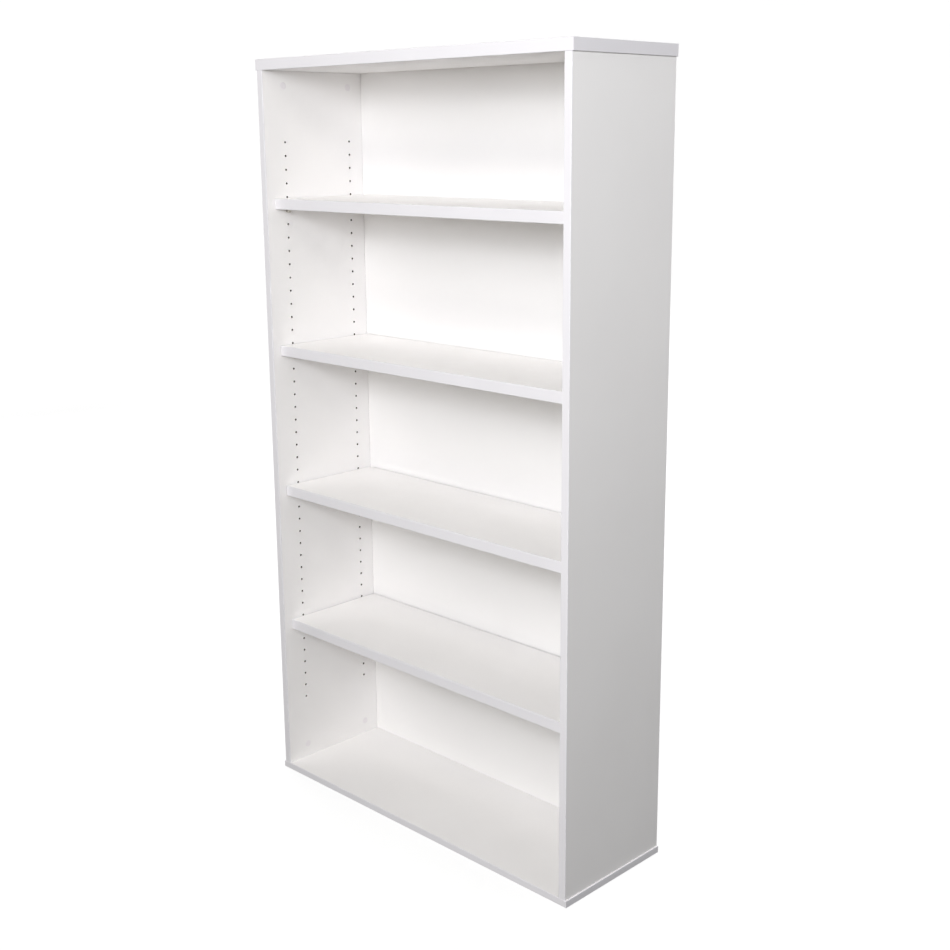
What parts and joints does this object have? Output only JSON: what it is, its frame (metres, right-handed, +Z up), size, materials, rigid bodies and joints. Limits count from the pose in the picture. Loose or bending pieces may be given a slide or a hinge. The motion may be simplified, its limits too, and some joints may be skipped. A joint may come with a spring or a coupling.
{
  "type": "bookcase",
  "caption": "Tall open white bookcase with a grooved back and edge-banded boards; its adjustable shelves rest on plug-in pins in rows of holes in both side panels.",
  "frame": {"origin": "on the floor, at the centre of the footprint of the bottom panel", "axes": "+Z up along the side panels; -Y is the open front and +Y the back; +X is to the right seen from the front"},
  "size_m": [0.97, 0.322, 1.78],
  "materials": {
    "white_melamine_board": "satin melamine on particle board",
    "white_edging": "satin edging strip",
    "nickel_plated_pin": "dull nickel plate",
    "zinc_cam": "die-cast zinc",
    "white_cover_cap": "satin moulded plastic",
    "zinc_plated_bolt": "zinc plate",
    "beech_dowel": "bare beech"
  },
  "bodies": {
    "case": {"top_panel": "white_melamine_board", "bottom_panel": "white_melamine_board", "left_side_panel": "white_melamine_board", "right_side_panel": "white_melamine_board", "back_panel": "white_melamine_board", "top_front_edging": "white_edging", "top_rear_edging": "white_edging", "top_left_edging": "white_edging", "top_right_edging": "white_edging", "bottom_front_edging": "white_edging", "bottom_rear_edging": "white_edging", "bottom_left_edging": "white_edging", "bottom_right_edging": "white_edging", "left_side_front_edging": "white_edging", "left_side_rear_edging": "white_edging", "right_side_front_edging": "white_edging", "right_side_rear_edging": "white_edging", "left_cam_housings": "zinc_cam", "right_cam_housings": "zinc_cam", "left_cover_caps": "white_cover_cap", "right_cover_caps": "white_cover_cap", "top_connecting_bolts": "zinc_plated_bolt", "bottom_connecting_bolts": "zinc_plated_bolt", "top_dowels": "beech_dowel", "bottom_dowels": "beech_dowel"},
    "shelf_1": {"shelf_1": "white_melamine_board", "shelf_1_front_edging": "white_edging", "shelf_1_end_edgings": "white_edging"},
    "shelf_2": {"shelf_2": "white_melamine_board", "shelf_2_front_edging": "white_edging", "shelf_2_end_edgings": "white_edging"},
    "shelf_3": {"shelf_3": "white_melamine_board", "shelf_3_front_edging": "white_edging", "shelf_3_end_edgings": "white_edging"},
    "shelf_4": {"shelf_4": "white_melamine_board", "shelf_4_front_edging": "white_edging", "shelf_4_end_edgings": "white_edging"},
    "shelf_1_pin_front_left": {"shelf_1_pin_front_left": "nickel_plated_pin"},
    "shelf_1_pin_front_right": {"shelf_1_pin_front_right": "nickel_plated_pin"},
    "shelf_1_pin_rear_left": {"shelf_1_pin_rear_left": "nickel_plated_pin"},
    "shelf_1_pin_rear_right": {"shelf_1_pin_rear_right": "nickel_plated_pin"},
    "shelf_2_pin_front_left": {"shelf_2_pin_front_left": "nickel_plated_pin"},
    "shelf_2_pin_front_right": {"shelf_2_pin_front_right": "nickel_plated_pin"},
    "shelf_2_pin_rear_left": {"shelf_2_pin_rear_left": "nickel_plated_pin"},
    "shelf_2_pin_rear_right": {"shelf_2_pin_rear_right": "nickel_plated_pin"},
    "shelf_3_pin_front_left": {"shelf_3_pin_front_left": "nickel_plated_pin"},
    "shelf_3_pin_front_right": {"shelf_3_pin_front_right": "nickel_plated_pin"},
    "shelf_3_pin_rear_left": {"shelf_3_pin_rear_left": "nickel_plated_pin"},
    "shelf_3_pin_rear_right": {"shelf_3_pin_rear_right": "nickel_plated_pin"},
    "shelf_4_pin_front_left": {"shelf_4_pin_front_left": "nickel_plated_pin"},
    "shelf_4_pin_front_right": {"shelf_4_pin_front_right": "nickel_plated_pin"},
    "shelf_4_pin_rear_left": {"shelf_4_pin_rear_left": "nickel_plated_pin"},
    "shelf_4_pin_rear_right": {"shelf_4_pin_rear_right": "nickel_plated_pin"}
  },
  "joints": [
    {"name": "shelf_1_lift", "type": "slide", "parent": "case", "child": "shelf_1", "axis": [0, 0, 1], "range_m": [0, 0.29]},
    {"name": "shelf_2_lift", "type": "slide", "parent": "case", "child": "shelf_2", "axis": [0, 0, 1], "range_m": [0, 0.315]},
    {"name": "shelf_3_lift", "type": "slide", "parent": "case", "child": "shelf_3", "axis": [0, 0, 1], "range_m": [0, 0.315]},
    {"name": "shelf_4_lift", "type": "slide", "parent": "case", "child": "shelf_4", "axis": [0, 0, 1], "range_m": [0, 0.315]},
    {"name": "shelf_1_pin_front_left_pull", "type": "slide", "parent": "case", "child": "shelf_1_pin_front_left", "axis": [1, 0, 0], "range_m": [0, 0.012]},
    {"name": "shelf_1_pin_front_right_pull", "type": "slide", "parent": "case", "child": "shelf_1_pin_front_right", "axis": [-1, 0, 0], "range_m": [0, 0.012]},
    {"name": "shelf_1_pin_rear_left_pull", "type": "slide", "parent": "case", "child": "shelf_1_pin_rear_left", "axis": [1, 0, 0], "range_m": [0, 0.012]},
    {"name": "shelf_1_pin_rear_right_pull", "type": "slide", "parent": "case", "child": "shelf_1_pin_rear_right", "axis": [-1, 0, 0], "range_m": [0, 0.012]},
    {"name": "shelf_2_pin_front_left_pull", "type": "slide", "parent": "case", "child": "shelf_2_pin_front_left", "axis": [1, 0, 0], "range_m": [0, 0.012]},
    {"name": "shelf_2_pin_front_right_pull", "type": "slide", "parent": "case", "child": "shelf_2_pin_front_right", "axis": [-1, 0, 0], "range_m": [0, 0.012]},
    {"name": "shelf_2_pin_rear_left_pull", "type": "slide", "parent": "case", "child": "shelf_2_pin_rear_left", "axis": [1, 0, 0], "range_m": [0, 0.012]},
    {"name": "shelf_2_pin_rear_right_pull", "type": "slide", "parent": "case", "child": "shelf_2_pin_rear_right", "axis": [-1, 0, 0], "range_m": [0, 0.012]},
    {"name": "shelf_3_pin_front_left_pull", "type": "slide", "parent": "case", "child": "shelf_3_pin_front_left", "axis": [1, 0, 0], "range_m": [0, 0.012]},
    {"name": "shelf_3_pin_front_right_pull", "type": "slide", "parent": "case", "child": "shelf_3_pin_front_right", "axis": [-1, 0, 0], "range_m": [0, 0.012]},
    {"name": "shelf_3_pin_rear_left_pull", "type": "slide", "parent": "case", "child": "shelf_3_pin_rear_left", "axis": [1, 0, 0], "range_m": [0, 0.012]},
    {"name": "shelf_3_pin_rear_right_pull", "type": "slide", "parent": "case", "child": "shelf_3_pin_rear_right", "axis": [-1, 0, 0], "range_m": [0, 0.012]},
    {"name": "shelf_4_pin_front_left_pull", "type": "slide", "parent": "case", "child": "shelf_4_pin_front_left", "axis": [1, 0, 0], "range_m": [0, 0.012]},
    {"name": "shelf_4_pin_front_right_pull", "type": "slide", "parent": "case", "child": "shelf_4_pin_front_right", "axis": [-1, 0, 0], "range_m": [0, 0.012]},
    {"name": "shelf_4_pin_rear_left_pull", "type": "slide", "parent": "case", "child": "shelf_4_pin_rear_left", "axis": [1, 0, 0], "range_m": [0, 0.012]},
    {"name": "shelf_4_pin_rear_right_pull", "type": "slide", "parent": "case", "child": "shelf_4_pin_rear_right", "axis": [-1, 0, 0], "range_m": [0, 0.012]}
  ]
}
